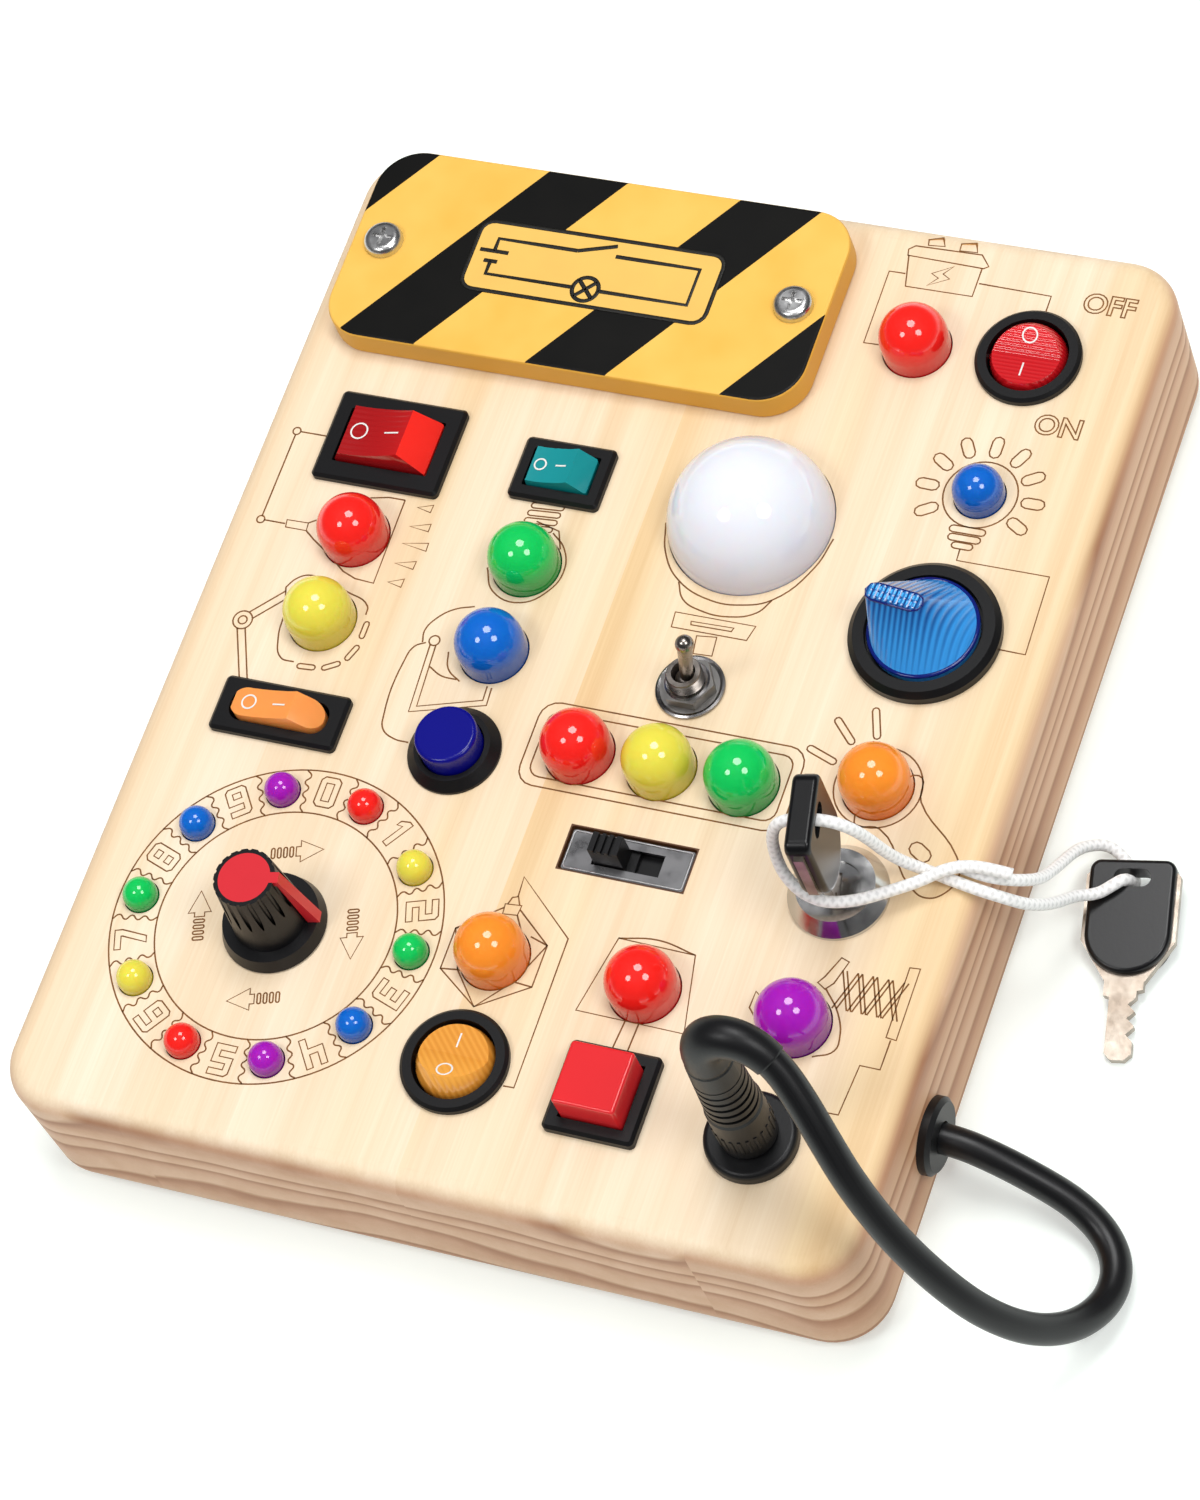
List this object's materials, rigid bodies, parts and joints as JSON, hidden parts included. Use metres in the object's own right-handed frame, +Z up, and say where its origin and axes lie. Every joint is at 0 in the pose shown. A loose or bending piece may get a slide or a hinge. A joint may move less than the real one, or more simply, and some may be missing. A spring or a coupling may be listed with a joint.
{
  "type": "wooden busy board",
  "caption": "Pale wooden play board carrying working switches, a dial, buttons, a key lock with keys on a cord and a plug on a lead, each wired to a coloured lamp.",
  "frame": {"origin": "centre of the wooden board's footprint at its bottom edge", "axes": "+X to the side with the lead's grommet, +Y to the edge with the battery cover, +Z up out of the face"},
  "size_m": [0.2356, 0.24, 0.088],
  "materials": {
    "pine": "fine sanded pale pine under a thin clear coat, long brown growth lines",
    "plywood": "sanded thin plywood",
    "yellow_panel": "satin opaque sheet with smooth rounded edges",
    "screw_steel": "bright zinc plated, slightly satin",
    "black_plastic": "fine satin moulding",
    "black_gloss": "polished moulding with soft reflections",
    "red_plastic": "polished opaque moulding",
    "teal_plastic": "polished opaque moulding",
    "orange_plastic": "polished translucent moulding",
    "amber_plastic": "polished opaque moulding",
    "blue_plastic": "polished translucent moulding with fine ribs",
    "lens_red": "polished diffusing plastic lens",
    "lens_yellow": "polished diffusing plastic lens",
    "lens_green": "polished diffusing plastic lens",
    "lens_blue": "polished diffusing plastic lens",
    "lens_orange": "polished diffusing plastic lens",
    "lens_purple": "polished diffusing plastic lens",
    "lens_white": "polished milky diffusing plastic lens",
    "circuit_board": "green solder mask with small domed lights",
    "nickel": "bright nickel plate",
    "key_metal": "stamped nickel plated sheet, lightly worn",
    "cell_sleeve": "plain printed sleeve with bare metal ends",
    "cable_rubber": "smooth black flexible sheath",
    "burnt_line": "fine line burnt into the face by a laser, brown with a lighter rim",
    "white_print": "thin white pad print",
    "black_print": "thin black screen print",
    "white_braid": "round braided white cord"
  },
  "bodies": {
    "board": {"wooden_body": "pine", "back_panel": "plywood", "back_panel_screws": "screw_steel", "battery_cover": "yellow_panel", "battery_cover_screws": "screw_steel", "battery_tray": "black_plastic", "battery_contacts": "nickel", "battery_cells": "cell_sleeve", "light_boards": "circuit_board", "dial_board": "circuit_board", "lamps_red": "lens_red", "lamps_yellow": "lens_yellow", "lamps_green": "lens_green", "lamps_blue": "lens_blue", "lamps_orange": "lens_orange", "lamp_purple": "lens_purple", "globe_lamp": "lens_white", "dial_lamps_red": "lens_red", "dial_lamps_yellow": "lens_yellow", "dial_lamps_green": "lens_green", "dial_lamps_blue": "lens_blue", "dial_lamps_purple": "lens_purple", "wide_rocker_housing": "black_plastic", "small_rocker_housing": "black_plastic", "slim_rocker_housing": "black_plastic", "red_round_rocker_housing": "black_plastic", "amber_round_rocker_housing": "black_plastic", "selector_housing": "black_gloss", "toggle_body": "nickel", "slide_switch_body": "black_plastic", "slide_switch_frame": "nickel", "push_button_barrel": "black_plastic", "square_button_housing": "black_plastic", "rotary_switch": "nickel", "lock_barrel": "nickel", "spare_key_head": "black_gloss", "spare_key_blade": "key_metal", "key_cord": "white_braid", "plug_socket": "black_plastic", "cable_grommet": "black_plastic", "plug_cable": "cable_rubber", "panel_nuts": "nickel"},
    "wide_rocker": {"wide_rocker_button": "red_plastic"},
    "small_rocker": {"small_rocker_button": "teal_plastic"},
    "slim_rocker": {"slim_rocker_button": "orange_plastic"},
    "red_round_rocker": {"red_round_rocker_button": "red_plastic"},
    "amber_round_rocker": {"amber_round_rocker_button": "amber_plastic"},
    "selector": {"selector_knob": "blue_plastic"},
    "toggle": {"toggle_lever": "nickel"},
    "slider": {"slide_switch_knob": "black_plastic"},
    "push_button": {"push_button_cap": "blue_plastic"},
    "square_button": {"square_button_cap": "red_plastic"},
    "dial": {"dial_shaft": "nickel", "dial_knob": "black_plastic", "dial_knob_cap": "red_plastic"},
    "key": {"lock_core": "nickel", "key_head": "black_gloss", "key_blade": "key_metal"},
    "plug": {"plug_body": "black_plastic", "plug_pin": "nickel"}
  },
  "joints": [
    {"name": "wide_rocker_tilt", "type": "hinge", "parent": "board", "child": "wide_rocker", "pos_m": [-0.0639, 0.0449, 0.0351], "axis": [0, 1, 0], "range_deg": [0, 23]},
    {"name": "small_rocker_tilt", "type": "hinge", "parent": "board", "child": "small_rocker", "pos_m": [-0.023, 0.0449, 0.0351], "axis": [0, 1, 0], "range_deg": [0, 23]},
    {"name": "slim_rocker_tilt", "type": "hinge", "parent": "board", "child": "slim_rocker", "pos_m": [-0.0642, -0.0229, 0.0351], "axis": [0, 1, 0], "range_deg": [0, 23]},
    {"name": "red_round_rocker_tilt", "type": "hinge", "parent": "board", "child": "red_round_rocker", "pos_m": [0.0681, 0.091, 0.0351], "axis": [1, 0, 0], "range_deg": [-23, 0]},
    {"name": "amber_round_rocker_tilt", "type": "hinge", "parent": "board", "child": "amber_round_rocker", "pos_m": [0.0017, -0.0912, 0.0351], "axis": [1, 0, 0], "range_deg": [0, 23]},
    {"name": "selector_turn", "type": "hinge", "parent": "board", "child": "selector", "pos_m": [0.0668, 0.0227, 0.0365], "axis": [0, 0, 1], "range_deg": [-90, 0]},
    {"name": "toggle_flip", "type": "hinge", "parent": "board", "child": "toggle", "pos_m": [0.0216, 0.001, 0.0401], "axis": [0, 1, 0], "range_deg": [-25, 0]},
    {"name": "slider_move", "type": "slide", "parent": "board", "child": "slider", "axis": [1, 0, 0], "range_m": [0, 0.007]},
    {"name": "push_button_press", "type": "slide", "parent": "board", "child": "push_button", "axis": [0, 0, -1], "range_m": [0, 0.0025], "stiffness_N_per_m": 200},
    {"name": "square_button_press", "type": "slide", "parent": "board", "child": "square_button", "axis": [0, 0, -1], "range_m": [0, 0.003], "stiffness_N_per_m": 200},
    {"name": "dial_turn", "type": "hinge", "parent": "board", "child": "dial", "pos_m": [-0.0475, -0.0698, 0.0365], "axis": [0, 0, 1], "range_deg": [-162, 162]},
    {"name": "key_turn", "type": "hinge", "parent": "board", "child": "key", "pos_m": [0.0675, -0.038, 0.0365], "axis": [0, 0, 1], "range_deg": [-90, 0], "deforming": ["key_cord"]},
    {"name": "plug_pull", "type": "slide", "parent": "board", "child": "plug", "axis": [0, 0, 1], "range_m": [0, 0.015], "deforming": ["plug_cable"]}
  ]
}
